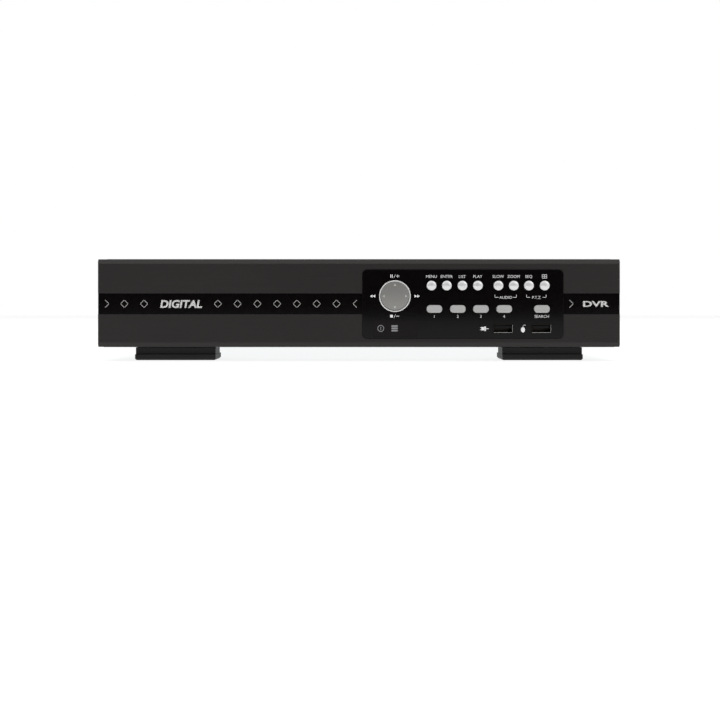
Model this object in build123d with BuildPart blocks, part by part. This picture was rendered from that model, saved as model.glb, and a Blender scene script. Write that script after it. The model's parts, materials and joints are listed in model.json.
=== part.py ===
from build123d import *
from math import asin, cos, degrees, radians, sin, sqrt
import os

os.makedirs("parts", exist_ok=True)

# Compact four-channel video recorder. Millimetres, X to the right seen from the front,
# the front faces -Y, Z up, the floor at Z = 0 and the origin under the middle of the whole.

# Outline of the whole recorder
WIDTH = 342.0
HEIGHT = 67.4
FRONT_TIP = -118.0  # domes of the push buttons
REAR_TIP = 118.0  # tips of the video jacks
SHEET = 0.8
BASE_Z = 8.4  # underside of the steel case
CASE_FRONT = -101.0
FLANGE_FACE = 104.5  # outside of the cover's rear flanges
PANEL_FACE = FLANGE_FACE - SHEET  # outside of the rear wall
PANEL_INNER = PANEL_FACE - SHEET
INNER_HALF = WIDTH / 2 - SHEET
COVER_CORNER = 2.9
TOP_FLANGE = 9.0
SIDE_FLANGE = 7.4

# Plastic front bezel
BEZEL_FACE = -115.5
BEZEL_WALL = 2.2
BEZEL_Z0 = 9.2
BEZEL_Z1 = 66.7
CHAMFER_HIGH = 3.0
CHAMFER_DEEP = 2.0
BAND_Z0 = 30.6
BAND_Z1 = 44.3
BAND_DEPTH = 1.6
BAND_THICK = 1.2
BEZEL_SCREWS = [(-160, 17), (160, 17), (-160, 58), (160, 58)]

# Glossy control panel set into the bezel
PANEL_X = 68.0
PANEL_Z = 37.3
PANEL_WIDE = 131.4
PANEL_HIGH = 45.2
PANEL_CORNER = 3.0
FASCIA_FACE = -116.0
FASCIA_LEDGE = BEZEL_FACE + BEZEL_WALL
FASCIA_BACK = FASCIA_LEDGE + 1.2
LEDGE = 2.0
SLACK = 0.1  # clearance round a moving button
BOARD_POSTS = [(6, 57.5), (6, 29.5), (129.5, 58), (129.5, 41.5)]

# Push buttons
ROUND_R = 3.1
ROUND_Z = 49.4
ROUND_X = {
    "button_menu": 47.4,
    "button_enter": 57.4,
    "button_list": 67.6,
    "button_play": 77.7,
    "button_slow": 91.1,
    "button_zoom": 101.1,
    "button_sequence": 111.0,
    "button_quad": 121.3,
}
OVAL_WIDE = 10.1
OVAL_HIGH = 5.0
OVAL_R = 2.25
OVAL_Z = 34.1
OVAL_X = {
    "button_one": 49.3,
    "button_two": 64.6,
    "button_three": 79.7,
    "button_four": 94.9,
    "button_search": 119.5,
}
TRAVEL = 0.5
CAP_BACK = FASCIA_BACK + 1.0
STEM_END = -108.6

# Four-way navigation disc on a small universal joint
NAV_X = 23.5
NAV_Z = 42.5
NAV_RING_R = 10.35
NAV_BORE_R = 9.45
NAV_R = 9.2
NAV_PIVOT_Y = -114.6
NAV_PUSH = 6.6
PIN_R = 0.6

# Front board with its switches, status window and data ports
FRONT_BOARD_FACE = -104.4
FRONT_BOARD_BACK = -102.8
WINDOW_X = 23.7
WINDOW_Z = 21.5
WINDOW_WIDE = 28.6
WINDOW_HIGH = 11.1
WINDOW_THICK = 1.5
LIGHT_PIPES = [14.3, 23.3]
DATA_PORT_X = [94.2, 119.3]
DATA_PORT_Z = 21.2
DATA_WIDE = 12.8
DATA_HIGH = 5.7

# Feet
FOOT_X0 = 95.3
FOOT_X1 = 148.8
LIP_TOP = 3.9
REAR_FOOT_X = 132.2
REAR_FOOT_Y = 86.0

# Main board and what stands on it
BOARD_Z = 19.6
BOARD_THICK = 1.6
BOARD_X0 = -125.0
BOARD_X1 = 95.0
BOARD_Y0 = 10.0
BOARD_Y1 = 102.3
BOARD_SCREWS = [(-118, 15), (-15, 15), (88, 15), (-118, 70), (-15, 70), (88, 70)]

# Hard disk
DISK_X0 = -160.0
DISK_X1 = -13.0
DISK_Y0 = -96.6
DISK_Y1 = 5.0
DISK_Z0 = 14.0
DISK_Z1 = 40.1
DISK_SCREW_X = [-131.5, -29.9]
DISK_SCREW_Z = 20.4

# Cooling fan behind the grille
FAN_X = 123.2
FAN_Z = 37.5
FAN_SIZE = 40.0
FAN_DEEP = 10.0
FAN_PITCH = 32.0
GRILLE_RINGS = [(19.0, 16.85), (14.95, 12.8), (10.95, 8.75)]
GRILLE_BAR = 4.5

# Rear jacks: (X, Z) of each centre
DC_AT = (83.5, 24.9)
TERMINAL_AT = (59.8, 25.2)
TERMINAL_WAYS = 9
TERMINAL_PITCH = 2.54
TERMINAL_SHIFT = -0.85  # the row of ways is a little off the middle of the block
DISK_PORT_AT = (41.0, 28.5)
LAN_X = 26.8
INFRARED_AT = (12.75, 26.6)
MONITOR_AT = (-10.7, 26.0)
MONITOR_PITCH = 24.99
SCREEN_AT = (-39.8, 23.2)
AUDIO_X = -59.7
AUDIO_Z = [40.3, 26.4]
VIDEO_OUT_AT = (-77.2, 23.7)
SCREEN_OPENING = [(-7.5, 2.8), (7.5, 2.8), (7.5, -0.75), (5.5, -2.8), (-5.5, -2.8), (-7.5, -0.75)]
VIDEO_IN_AT = (-103.95, 35.95)
VIDEO_IN_DX = 17.9
VIDEO_IN_DZ = 15.7
BARREL_R = 4.85
BORE_R = 4.05
VIDEO_BASE_R = 6.7
OUT_BASE_R = 5.8
AUDIO_BASE_R = 5.1
AUDIO_SHELL_R = 4.15
AUDIO_NECK_R = 3.85
AUDIO_BORE_R = 3.4

# Screws
HEAD_HIGH = 1.7
RIM_HIGH = 0.4
SHANK_R = 1.25
CLEAR_R = 1.6
TAPPED_R = 1.35
FLANGE_SCREWS = [(-74.7, 62.3), (74.7, 62.3), (-166.1, 19.2), (166.5, 19.2)]
PORT_SCREWS = [(-39.8, 31.2), (-0.5, 12.2)]
JACK_SCREWS = [(-68.5, 33.6), (-104.2, 49.0)]
TO_REAR = (-90, 0, 0)
TO_FRONT = (90, 0, 0)
UPWARD = (0, 0, 0)


def across(y):
    """Drawing plane across the recorder at depth y; extrusions run towards the front."""
    return Plane.XZ.offset(-y)


def box(x0, x1, y0, y1, z0, z1, mode=Mode.ADD):
    """Block between pairs of limits, in the part being built."""
    with Locations(((x0 + x1) / 2, (y0 + y1) / 2, (z0 + z1) / 2)):
        Box(x1 - x0, y1 - y0, z1 - z0, mode=mode)


def rod(x, z, radius, y0, y1, mode=Mode.ADD):
    """Cylinder whose axis runs from front to back."""
    with Locations(Location((x, (y0 + y1) / 2, z), (90, 0, 0))):
        Cylinder(radius, y1 - y0, mode=mode)


def post(x, y, radius, z0, z1, mode=Mode.ADD):
    """Upright cylinder."""
    with Locations((x, y, (z0 + z1) / 2)):
        Cylinder(radius, z1 - z0, mode=mode)


def screw(seat, turn, head_radius, length):
    """Cross-head machine screw: its head rises along the turned Z axis from the seat."""
    place = Location(seat, turn)
    rise = HEAD_HIGH - RIM_HIGH
    ball = (head_radius**2 + rise**2) / (2 * rise)
    with Locations(place):
        Cylinder(head_radius, RIM_HIGH, align=(Align.CENTER, Align.CENTER, Align.MIN))
        Cylinder(SHANK_R, length, align=(Align.CENTER, Align.CENTER, Align.MAX))
    with Locations(place * Location((0, 0, HEAD_HIGH))):
        rim_angle = degrees(asin((ball - rise) / ball))
        Sphere(ball, rim_angle, 90, align=(Align.CENTER, Align.CENTER, Align.MAX))
        Box(head_radius * 1.1, 0.5, 1.9, mode=Mode.SUBTRACT)
        Box(0.5, head_radius * 1.1, 1.9, mode=Mode.SUBTRACT)


def nozzle(x, z, steps, bore, y_floor):
    """Turned sleeve along Y: (outer radius, y0, y1) steps, with a blind bore from the rear."""
    for radius, y0, y1 in steps:
        rod(x, z, radius, y0, y1)
    rod(x, z, bore, y_floor, steps[-1][2], mode=Mode.SUBTRACT)


# ---------------------------------------------------------------- steel case

with BuildPart() as top_cover:
    with BuildSketch(across(PANEL_FACE)) as cover_outline:
        with Locations((0, (BASE_Z + HEIGHT) / 2)):
            Rectangle(WIDTH, HEIGHT - BASE_Z)
        fillet(cover_outline.vertices().group_by(Axis.Y)[-1], radius=COVER_CORNER)
    extrude(amount=PANEL_FACE - CASE_FRONT)
    with BuildSketch(across(PANEL_FACE)) as cover_hollow:
        with Locations((0, (BASE_Z + HEIGHT - SHEET) / 2)):
            Rectangle(2 * INNER_HALF, HEIGHT - SHEET - BASE_Z)
        fillet(cover_hollow.vertices().group_by(Axis.Y)[-1], radius=COVER_CORNER - SHEET)
    extrude(amount=PANEL_FACE - CASE_FRONT, mode=Mode.SUBTRACT)
    with BuildSketch(across(FLANGE_FACE)) as flanges:
        with Locations((0, (BASE_Z + HEIGHT) / 2)):
            Rectangle(WIDTH, HEIGHT - BASE_Z)
        fillet(flanges.vertices().group_by(Axis.Y)[-1], radius=COVER_CORNER)
        with Locations((0, (BASE_Z + HEIGHT - TOP_FLANGE) / 2)):
            Rectangle(WIDTH - 2 * SIDE_FLANGE, HEIGHT - TOP_FLANGE - BASE_Z, mode=Mode.SUBTRACT)
        with Locations((164.9, 60.9)):
            Rectangle(10.6, 1.3, rotation=48, mode=Mode.SUBTRACT)
        with Locations((-164.9, 60.9)):
            Rectangle(10.6, 1.3, rotation=-48, mode=Mode.SUBTRACT)
        with Locations(*FLANGE_SCREWS):
            Circle(CLEAR_R, mode=Mode.SUBTRACT)
    extrude(amount=SHEET)
    with BuildSketch(Plane.YZ) as vents:
        with Locations((-30, 38)):
            with GridLocations(4.6, 14, 16, 2):
                SlotOverall(10, 2.0, rotation=90)
    extrude(amount=WIDTH, both=True, mode=Mode.SUBTRACT)

with BuildPart() as chassis_base:
    box(-INNER_HALF, INNER_HALF, CASE_FRONT, PANEL_FACE, BASE_Z, BASE_Z + SHEET)
    box(-INNER_HALF, INNER_HALF, CASE_FRONT, CASE_FRONT + SHEET, BASE_Z, 62)
    box(-INNER_HALF, INNER_HALF, PANEL_INNER, PANEL_FACE, BASE_Z, 60)
    box(-INNER_HALF + 2, INNER_HALF - 2, PANEL_INNER, PANEL_FACE, 60, HEIGHT - SHEET)
    for side in (-1, 1):
        x0, x1 = sorted((side * INNER_HALF, side * (INNER_HALF - SHEET)))
        box(x0, x1, CASE_FRONT, PANEL_FACE, BASE_Z, 24)
    # Shallow stiffening swage along the top of the rear wall
    box(-100, 99, PANEL_FACE, PANEL_FACE + 0.4, 54.4, 57.0)
    swage = chassis_base.faces().filter_by(Axis.Y).sort_by(Axis.Y)[-1]
    fillet(swage.edges(), radius=0.35)
    # Bosses under the main board
    for x, y in BOARD_SCREWS:
        post(x, y, 3.2, BASE_Z, BOARD_Z - BOARD_THICK)
        post(x, y, TAPPED_R, 12, BOARD_Z - BOARD_THICK, mode=Mode.SUBTRACT)
    # Pressed rear feet
    for side in (-1, 1):
        post(side * REAR_FOOT_X, REAR_FOOT_Y, 10.3, BASE_Z, BASE_Z + SHEET, mode=Mode.SUBTRACT)
        foot_plane = Plane(
            origin=(side * REAR_FOOT_X, REAR_FOOT_Y, 0), x_dir=(1, 0, 0), z_dir=(0, -1, 0)
        )
        with BuildSketch(foot_plane):
            with BuildLine():
                Polyline((0, SHEET), (0, 0), (4.7, 0))
                ThreePointArc((4.7, 0), (5.6, 0.35), (6.1, 1.2))
                Line((6.1, 1.2), (8.3, 5.2))
                ThreePointArc((8.3, 5.2), (9.45, 7.0), (11.2, BASE_Z))
                Polyline((11.2, BASE_Z), (11.2, BASE_Z + SHEET), (10.2, BASE_Z + SHEET))
                ThreePointArc((10.2, BASE_Z + SHEET), (8.75, 7.8), (7.6, 5.7))
                Line((7.6, 5.7), (5.4, 1.7))
                ThreePointArc((5.4, 1.7), (5.0, 1.05), (4.4, SHEET))
                Line((4.4, SHEET), (0, SHEET))
            make_face()
        revolve(axis=Axis((side * REAR_FOOT_X, REAR_FOOT_Y, 0), (0, 0, 1)))
    # Openings in the rear wall
    with BuildSketch(across(PANEL_FACE + 1)):
        with Locations((FAN_X, FAN_Z)):
            for outer, inner in GRILLE_RINGS:
                Circle(outer)
                Circle(inner, mode=Mode.SUBTRACT)
            Rectangle(FAN_SIZE, GRILLE_BAR, mode=Mode.SUBTRACT)
            Rectangle(GRILLE_BAR, FAN_SIZE, mode=Mode.SUBTRACT)
    extrude(amount=1 + 2 * SHEET, mode=Mode.SUBTRACT)
    with BuildSketch(across(PANEL_FACE + 1)):
        with Locations((FAN_X - FAN_PITCH / 2, FAN_Z + FAN_PITCH / 2)):
            Circle(CLEAR_R)
        with Locations((FAN_X + FAN_PITCH / 2, FAN_Z - FAN_PITCH / 2)):
            Circle(CLEAR_R)
        with Locations(*FLANGE_SCREWS, *PORT_SCREWS, *JACK_SCREWS):
            Circle(TAPPED_R)
        with Locations(DC_AT):
            Rectangle(9.5, 11.7)
        with Locations((TERMINAL_AT[0], TERMINAL_AT[1] - 0.4)):
            Rectangle(24.7, 10.3)
        with Locations(DISK_PORT_AT):
            Rectangle(5.0, 17.9)
        with Locations((LAN_X, 26.5)):
            Rectangle(16.7, 14.2)
        with Locations(INFRARED_AT):
            Circle(3.4)
        with Locations(MONITOR_AT):
            Polygon((-9.55, 5.3), (9.55, 5.3), (8.55, -5.3), (-8.55, -5.3), align=None)
            Rectangle(MONITOR_PITCH, 4.9)
            with Locations((-MONITOR_PITCH / 2, 0), (MONITOR_PITCH / 2, 0)):
                Circle(3.5)
        with Locations(SCREEN_AT):
            Polygon(*SCREEN_OPENING, align=None)
        with Locations((AUDIO_X, AUDIO_Z[0]), (AUDIO_X, AUDIO_Z[1])):
            Circle(AUDIO_BASE_R + 0.2)
        with Locations(VIDEO_OUT_AT):
            Circle(OUT_BASE_R + 0.2)
        with Locations(VIDEO_IN_AT):
            with GridLocations(VIDEO_IN_DX, VIDEO_IN_DZ, 2, 2):
                Circle(VIDEO_BASE_R + 0.2)
    extrude(amount=1 + 2 * SHEET, mode=Mode.SUBTRACT)
    # Openings in the front wall
    with BuildSketch(across(CASE_FRONT + 2 * SHEET)):
        with Locations((70, 38)):
            RectangleRounded(60, 16, 2)
        with Locations(*BEZEL_SCREWS):
            Circle(CLEAR_R)
    extrude(amount=3 * SHEET, mode=Mode.SUBTRACT)

# ---------------------------------------------------------------- bezel and trim

with BuildPart() as front_bezel:
    with BuildSketch(Plane.YZ):
        with BuildLine():
            Polyline(
                (CASE_FRONT, BEZEL_Z0),
                (CASE_FRONT, BEZEL_Z1),
                (BEZEL_FACE + CHAMFER_DEEP, BEZEL_Z1),
                (BEZEL_FACE, BEZEL_Z1 - CHAMFER_HIGH),
                (BEZEL_FACE, BEZEL_Z0 + CHAMFER_HIGH),
                (BEZEL_FACE + CHAMFER_DEEP, BEZEL_Z0),
                close=True,
            )
        make_face()
    extrude(amount=WIDTH / 2, both=True)
    end_edges = front_bezel.edges().filter_by(Axis.Z).group_by(Axis.Y)[0]
    fillet(end_edges, radius=1.0)
    box(
        -WIDTH / 2 + BEZEL_WALL,
        WIDTH / 2 - BEZEL_WALL,
        FASCIA_LEDGE,
        CASE_FRONT,
        BEZEL_Z0 + BEZEL_WALL,
        BEZEL_Z1 - BEZEL_WALL,
        mode=Mode.SUBTRACT,
    )
    for x, z in BEZEL_SCREWS:
        rod(x, z, 3.2, FASCIA_LEDGE, CASE_FRONT)
        rod(x, z, TAPPED_R, CASE_FRONT - 8, CASE_FRONT, mode=Mode.SUBTRACT)
    box(
        -WIDTH, WIDTH, BEZEL_FACE - 1, BEZEL_FACE + BAND_DEPTH, BAND_Z0, BAND_Z1, mode=Mode.SUBTRACT
    )
    with BuildSketch(across(FASCIA_LEDGE + 1)):
        with Locations((PANEL_X, PANEL_Z)):
            RectangleRounded(PANEL_WIDE + 0.3, PANEL_HIGH + 0.3, PANEL_CORNER + 0.15)
    extrude(amount=5, mode=Mode.SUBTRACT)

BAND_BACK = BEZEL_FACE + BAND_DEPTH
BAND_FRONT = BAND_BACK - BAND_THICK
PANEL_LEFT = PANEL_X - PANEL_WIDE / 2 - 0.15
PANEL_RIGHT = PANEL_X + PANEL_WIDE / 2 + 0.15

with BuildPart() as band_inlays:
    box(-WIDTH / 2, PANEL_LEFT, BAND_FRONT, BAND_BACK, BAND_Z0, BAND_Z1)
    box(PANEL_RIGHT, WIDTH / 2, BAND_FRONT, BAND_BACK, BAND_Z0, BAND_Z1)
    outer_edges = band_inlays.edges().filter_by(Axis.Z).group_by(Axis.Y)[0]
    fillet([outer_edges.sort_by(Axis.X)[0], outer_edges.sort_by(Axis.X)[-1]], radius=0.9)

with BuildPart() as control_panel:
    with BuildSketch(across(FASCIA_LEDGE)):
        with Locations((PANEL_X, PANEL_Z)):
            RectangleRounded(PANEL_WIDE, PANEL_HIGH, PANEL_CORNER)
    extrude(amount=FASCIA_LEDGE - FASCIA_FACE)
    face_edges = control_panel.faces().sort_by(Axis.Y)[0].edges()
    fillet(face_edges, radius=0.3)
    with BuildSketch(across(FASCIA_BACK)):
        with Locations((PANEL_X, PANEL_Z)):
            RectangleRounded(PANEL_WIDE + 2 * LEDGE, PANEL_HIGH + 2 * LEDGE, PANEL_CORNER)
    extrude(amount=FASCIA_BACK - FASCIA_LEDGE)
    for x, z in BOARD_POSTS:
        rod(x, z, 2.5, FASCIA_BACK, FRONT_BOARD_FACE)
        rod(x, z, TAPPED_R, FRONT_BOARD_FACE - 6, FRONT_BOARD_FACE, mode=Mode.SUBTRACT)
    # Lower strip, a little below the face
    box(39, 140, FASCIA_FACE - 1, FASCIA_FACE + 0.3, 10, 25.6, mode=Mode.SUBTRACT)
    # Openings for the buttons, the data ports and the light pipes
    with BuildSketch(across(FASCIA_BACK + 1)):
        with Locations(*[(x, ROUND_Z) for x in ROUND_X.values()]):
            Circle(ROUND_R + SLACK)
        with Locations(*[(x, OVAL_Z) for x in OVAL_X.values()]):
            RectangleRounded(OVAL_WIDE + 2 * SLACK, OVAL_HIGH + 2 * SLACK, OVAL_R + SLACK)
        with Locations(*[(x, DATA_PORT_Z) for x in DATA_PORT_X]):
            Rectangle(DATA_WIDE + 0.3, DATA_HIGH + 0.3)
        with Locations((WINDOW_X - 3, WINDOW_Z)):
            RectangleRounded(18, 7, 1)
        with Locations((NAV_X, NAV_Z)):
            with PolarLocations(NAV_PUSH, 4):
                Circle(2.0)
    extrude(amount=8, mode=Mode.SUBTRACT)
    with BuildSketch(across(FASCIA_FACE + WINDOW_THICK)):
        with Locations((WINDOW_X, WINDOW_Z)):
            RectangleRounded(WINDOW_WIDE + 0.2, WINDOW_HIGH + 0.2, 0.9)
    extrude(amount=3, mode=Mode.SUBTRACT)
    rod(NAV_X, NAV_Z, NAV_BORE_R, FASCIA_FACE - 1, FASCIA_LEDGE, mode=Mode.SUBTRACT)
    # Fork that carries the universal joint of the navigation disc
    for side in (-1, 1):
        x0, x1 = sorted((NAV_X + side * 1.5, NAV_X + side * 2.7))
        box(x0, x1, NAV_PIVOT_Y - 0.8, FASCIA_LEDGE, NAV_Z - 1, NAV_Z + 1)
    with Locations(Location((NAV_X, NAV_PIVOT_Y, NAV_Z), (0, 90, 0))):
        Cylinder(PIN_R + 0.05, 8, mode=Mode.SUBTRACT)

with BuildPart() as led_window:
    with BuildSketch(across(FASCIA_FACE + WINDOW_THICK)):
        with Locations((WINDOW_X, WINDOW_Z)):
            RectangleRounded(WINDOW_WIDE, WINDOW_HIGH, 0.8)
    extrude(amount=WINDOW_THICK)
    for x in LIGHT_PIPES:
        rod(x, WINDOW_Z, 1.5, FASCIA_FACE + WINDOW_THICK, FRONT_BOARD_FACE)

with BuildPart() as front_feet:
    for side in (-1, 1):
        x0, x1 = sorted((side * FOOT_X0, side * FOOT_X1))
        box(x0, x1, -106, -82, 0, LIP_TOP)
        box(x0 + 0.2, x1 - 0.2, -104.5, -86, LIP_TOP, BASE_Z)
    floor_edges = front_feet.edges().group_by(Axis.Z)[0]
    chamfer(floor_edges, length=0.9)

# ---------------------------------------------------------------- navigation disc

with BuildPart() as nav_ring:
    rod(NAV_X, NAV_Z, NAV_RING_R, FASCIA_FACE - 1.0, FASCIA_FACE)
    rod(NAV_X, NAV_Z, NAV_BORE_R, FASCIA_FACE - 1.0, FASCIA_FACE, mode=Mode.SUBTRACT)
    fillet(nav_ring.edges().group_by(Axis.Y)[0], radius=0.35)

with BuildPart() as nav_gimbal:
    with Locations((NAV_X, NAV_PIVOT_Y, NAV_Z)):
        Box(2.4, 1.6, 2.4)
        Cylinder(PIN_R, 5.4)
    with Locations(Location((NAV_X, NAV_PIVOT_Y, NAV_Z), (0, 90, 0))):
        Cylinder(PIN_R, 5.4)

with BuildPart() as nav_disc:
    disc_plane = Plane(origin=(NAV_X, 0, NAV_Z), x_dir=(1, 0, 0), z_dir=(0, 0, 1))
    with BuildSketch(disc_plane):
        with BuildLine():
            ThreePointArc((0, FRONT_TIP), (4.4, FRONT_TIP + 0.13), (8.8, FRONT_TIP + 0.55))
            ThreePointArc((8.8, FRONT_TIP + 0.55), (9.08, FRONT_TIP + 0.68), (NAV_R, -117.0))
            Polyline((NAV_R, -117.0), (NAV_R, -115.7), (0, -115.7), (0, FRONT_TIP))
        make_face()
    revolve(axis=Axis((NAV_X, 0, NAV_Z), (0, 1, 0)))
    for side in (-1, 1):
        z0, z1 = sorted((NAV_Z + side * 1.5, NAV_Z + side * 2.7))
        box(NAV_X - 1, NAV_X + 1, -115.7, NAV_PIVOT_Y + 0.8, z0, z1)
    with Locations((NAV_X, NAV_PIVOT_Y, NAV_Z)):
        Cylinder(PIN_R + 0.05, 8, mode=Mode.SUBTRACT)
    for turn in range(4):
        push_x = NAV_X + NAV_PUSH * cos(radians(90 * turn))
        push_z = NAV_Z + NAV_PUSH * sin(radians(90 * turn))
        rod(push_x, push_z, 1.2, -115.7, -108.5)

# ---------------------------------------------------------------- push buttons


def round_button(x):
    """Domed cap with a retaining collar and a stem for its switch."""
    dome_base = FRONT_TIP + 0.8
    dome_radius = (ROUND_R**2 + 0.8**2) / 1.6
    half = ROUND_R / 2
    dome_mid = FRONT_TIP + dome_radius - sqrt(dome_radius**2 - half**2)
    plane = Plane(origin=(x, 0, ROUND_Z), x_dir=(1, 0, 0), z_dir=(0, 0, 1))
    with BuildPart() as cap:
        with BuildSketch(plane):
            with BuildLine():
                ThreePointArc((0, FRONT_TIP), (half, dome_mid), (ROUND_R, dome_base))
                Polyline(
                    (ROUND_R, dome_base),
                    (ROUND_R, FASCIA_BACK),
                    (ROUND_R + 0.7, FASCIA_BACK),
                    (ROUND_R + 0.7, CAP_BACK),
                    (1.5, CAP_BACK),
                    (1.5, STEM_END),
                    (0, STEM_END),
                    (0, FRONT_TIP),
                )
            make_face()
        revolve(axis=Axis((x, 0, ROUND_Z), (0, 1, 0)))
    return cap


def oval_button(x):
    """Oblong cap with a retaining collar and a stem for its switch."""
    with BuildPart() as cap:
        with BuildSketch(across(FASCIA_BACK)):
            with Locations((x, OVAL_Z)):
                RectangleRounded(OVAL_WIDE, OVAL_HIGH, OVAL_R)
        extrude(amount=FASCIA_BACK - FRONT_TIP - 0.4)
        fillet(cap.faces().sort_by(Axis.Y)[0].edges(), radius=0.7)
        with BuildSketch(across(CAP_BACK)):
            with Locations((x, OVAL_Z)):
                RectangleRounded(OVAL_WIDE + 1.4, OVAL_HIGH + 1.4, OVAL_R + 0.7)
        extrude(amount=CAP_BACK - FASCIA_BACK)
        rod(x, OVAL_Z, 1.5, CAP_BACK, STEM_END)
    return cap


buttons = {name: round_button(x) for name, x in ROUND_X.items()}
buttons.update({name: oval_button(x) for name, x in OVAL_X.items()})

# ---------------------------------------------------------------- front board

switch_spots = [(x, ROUND_Z) for x in ROUND_X.values()] + [(x, OVAL_Z) for x in OVAL_X.values()]
for turn in range(4):
    spot_x = NAV_X + NAV_PUSH * cos(radians(90 * turn))
    spot_z = NAV_Z + NAV_PUSH * sin(radians(90 * turn))
    switch_spots.append((spot_x, spot_z))

with BuildPart() as front_board:
    box(3, 132.5, FRONT_BOARD_FACE, FRONT_BOARD_BACK, 13.5, 60.5)
    for x, z in BOARD_POSTS:
        rod(x, z, CLEAR_R, FRONT_BOARD_FACE, FRONT_BOARD_BACK, mode=Mode.SUBTRACT)

with BuildPart() as switches:
    for x, z in switch_spots:
        box(x - 3, x + 3, FRONT_BOARD_FACE - 3.2, FRONT_BOARD_FACE, z - 3, z + 3)
        rod(x, z, 1.75, FRONT_BOARD_FACE - 3.6, FRONT_BOARD_FACE - 3.2)

with BuildPart() as data_port_shells:
    for x in DATA_PORT_X:
        half_x = DATA_WIDE / 2
        half_z = DATA_HIGH / 2
        z = DATA_PORT_Z
        box(x - half_x, x + half_x, -116.2, FRONT_BOARD_FACE, z - half_z, z + half_z)
        box(
            x - half_x + 0.3,
            x + half_x - 0.3,
            -117,
            FRONT_BOARD_FACE - 0.6,
            z - half_z + 0.3,
            z + half_z - 0.3,
            mode=Mode.SUBTRACT,
        )

with BuildPart() as port_tongues:
    for x in DATA_PORT_X:
        z = DATA_PORT_Z
        box(x - 5.6, x + 5.6, -114.8, FRONT_BOARD_FACE - 0.6, z + 0.2, z + 2.1)
    x, z = SCREEN_AT
    box(x - 5.8, x + 5.8, 93.2, 102.8, z - 0.3, z + 0.7)

# ---------------------------------------------------------------- main board

with BuildPart() as main_board:
    box(BOARD_X0, BOARD_X1, BOARD_Y0, BOARD_Y1, BOARD_Z - BOARD_THICK, BOARD_Z)
    for x, y in BOARD_SCREWS:
        post(x, y, CLEAR_R, BOARD_Z - BOARD_THICK, BOARD_Z, mode=Mode.SUBTRACT)

with BuildPart() as board_parts:
    box(26.5, 53.5, 46.5, 73.5, BOARD_Z, BOARD_Z + 2.2)
    for x in (-108, -88, -68, -48):
        box(x - 7, x + 7, 48, 62, BOARD_Z, BOARD_Z + 1.3)
    for x in (-4, 10):
        box(x - 5, x + 5, 52, 70, BOARD_Z, BOARD_Z + 1.1)
    for x, y in [(72, 40), (72, 52), (72, 64), (-30, 40)]:
        post(x, y, 4.0, BOARD_Z, BOARD_Z + 11)
    box(0, 10, 14, 22, BOARD_Z, BOARD_Z + 7)
    box(58, 82, 12, 18, BOARD_Z, BOARD_Z + 7)
    box(84, 92, 78, 84, BOARD_Z, BOARD_Z + 6)
    box(58, 82, FRONT_BOARD_BACK, FRONT_BOARD_BACK + 4, 34.5, 41.5)

with BuildPart() as heat_sink:
    box(20, 60, 40, 80, BOARD_Z + 2.2, BOARD_Z + 5.2)
    for fin in range(9):
        fin_x = 20 + fin * 4.8
        box(fin_x, fin_x + 1.6, 40, 80, BOARD_Z + 5.2, BOARD_Z + 16)

with BuildPart() as coin_cell:
    box(16, 38, 15, 35, BOARD_Z, BOARD_Z + 1.6)
    post(27, 25, 9.8, BOARD_Z + 1.6, BOARD_Z + 4.8)

# ---------------------------------------------------------------- hard disk

with BuildPart() as hard_disk:
    box(DISK_X0, DISK_X1, DISK_Y0, DISK_Y1, DISK_Z0, DISK_Z1 - 1.6)
    upright = hard_disk.edges().filter_by(Axis.Z)
    chamfer(upright, length=1.5)
    box(DISK_X0 + 3, DISK_X1 - 6, DISK_Y0 + 2.5, DISK_Y1 - 2.5, DISK_Z1 - 1.6, DISK_Z1)
    post(-100, -45.8, 20, DISK_Z1 - 0.5, DISK_Z1, mode=Mode.SUBTRACT)
    box(DISK_X1 - 8, DISK_X1, -60, -18, DISK_Z0, DISK_Z0 + 6.5, mode=Mode.SUBTRACT)
    box(DISK_X1 - 8, DISK_X1 - 1, -58, -20, DISK_Z0 + 2.5, DISK_Z0 + 4.0)
    for x in DISK_SCREW_X:
        rod(x, DISK_SCREW_Z, TAPPED_R, DISK_Y0, DISK_Y0 + 5, mode=Mode.SUBTRACT)
        rod(x, DISK_SCREW_Z, TAPPED_R, DISK_Y1 - 5, DISK_Y1, mode=Mode.SUBTRACT)

with BuildPart() as disk_rails:
    floor_z = BASE_Z + SHEET
    box(DISK_X0, DISK_X1 - 6, DISK_Y0 - 1, DISK_Y0, floor_z, 26)
    box(DISK_X0, DISK_X1 - 6, DISK_Y0, DISK_Y0 + 12, floor_z, floor_z + 1)
    box(DISK_X0, DISK_X1 - 6, DISK_Y1, DISK_Y1 + 1, floor_z, 26)
    box(DISK_X0, DISK_X1 - 6, DISK_Y1 - 12, DISK_Y1, floor_z, floor_z + 1)
    for x in DISK_SCREW_X:
        rod(x, DISK_SCREW_Z, CLEAR_R, DISK_Y0 - 2, DISK_Y0, mode=Mode.SUBTRACT)
        rod(x, DISK_SCREW_Z, CLEAR_R, DISK_Y1, DISK_Y1 + 2, mode=Mode.SUBTRACT)

# ---------------------------------------------------------------- fan

FAN_FRONT = PANEL_INNER - FAN_DEEP

with BuildPart() as fan_frame:
    with BuildSketch(across(PANEL_INNER)):
        with Locations((FAN_X, FAN_Z)):
            RectangleRounded(FAN_SIZE, FAN_SIZE, 3)
            Circle(19.0, mode=Mode.SUBTRACT)
            with GridLocations(FAN_PITCH, FAN_PITCH, 2, 2):
                Circle(1.7, mode=Mode.SUBTRACT)
    extrude(amount=FAN_DEEP)
    with BuildSketch(across(FAN_FRONT + 1.5)):
        with Locations((FAN_X, FAN_Z)):
            Rectangle(38.6, 2.6)
            Rectangle(2.6, 38.6)
            Circle(9)
    extrude(amount=1.5)
    rod(FAN_X, FAN_Z, 1.5, FAN_FRONT + 1.5, FAN_FRONT + 8.5)

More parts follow.
